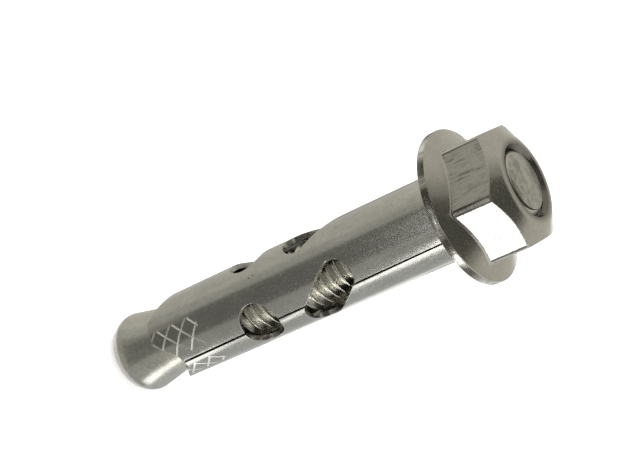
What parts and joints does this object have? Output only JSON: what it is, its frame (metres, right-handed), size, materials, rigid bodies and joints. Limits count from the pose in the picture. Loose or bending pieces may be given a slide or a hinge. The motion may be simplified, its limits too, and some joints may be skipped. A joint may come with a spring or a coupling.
{
  "type": "sleeve anchor",
  "caption": "Steel sleeve anchor: stud with a conical expander end, slotted split sleeve rolled from sheet, and a hexagon flange nut.",
  "frame": {"origin": "centre of the expander's flat end, which the anchor stands on", "axes": "+Z along the stud's axis, from the expander to the nut; a corner of the hexagon points to -Y and two of its flats are square to X"},
  "size_m": [0.0178, 0.0178, 0.0575],
  "materials": {
    "bolt_steel": "zinc plated, satin, slightly mottled",
    "sleeve_steel": "zinc plated, brushed, with a fine knurled band at the petals",
    "nut_steel": "zinc plated, satin, slightly warm"
  },
  "bodies": {
    "bolt": {"expander_bolt": "bolt_steel"},
    "sleeve": {"sleeve": "sleeve_steel"},
    "nut": {"flange_nut": "nut_steel"}
  },
  "joints": [
    {"name": "sleeve_slide", "type": "slide", "parent": "bolt", "child": "sleeve", "axis": [0, 0, 1], "range_m": [0, 0.005]},
    {"name": "nut_turn", "type": "hinge", "parent": "sleeve", "child": "nut", "pos_m": [0, 0, 0.04949], "axis": [0, 0, 1], "range_deg": [0, 1440]}
  ],
  "couplings": [
    {"joint": "sleeve_slide", "follows": "nut_turn", "m_per_rad": 0.00019894}
  ]
}
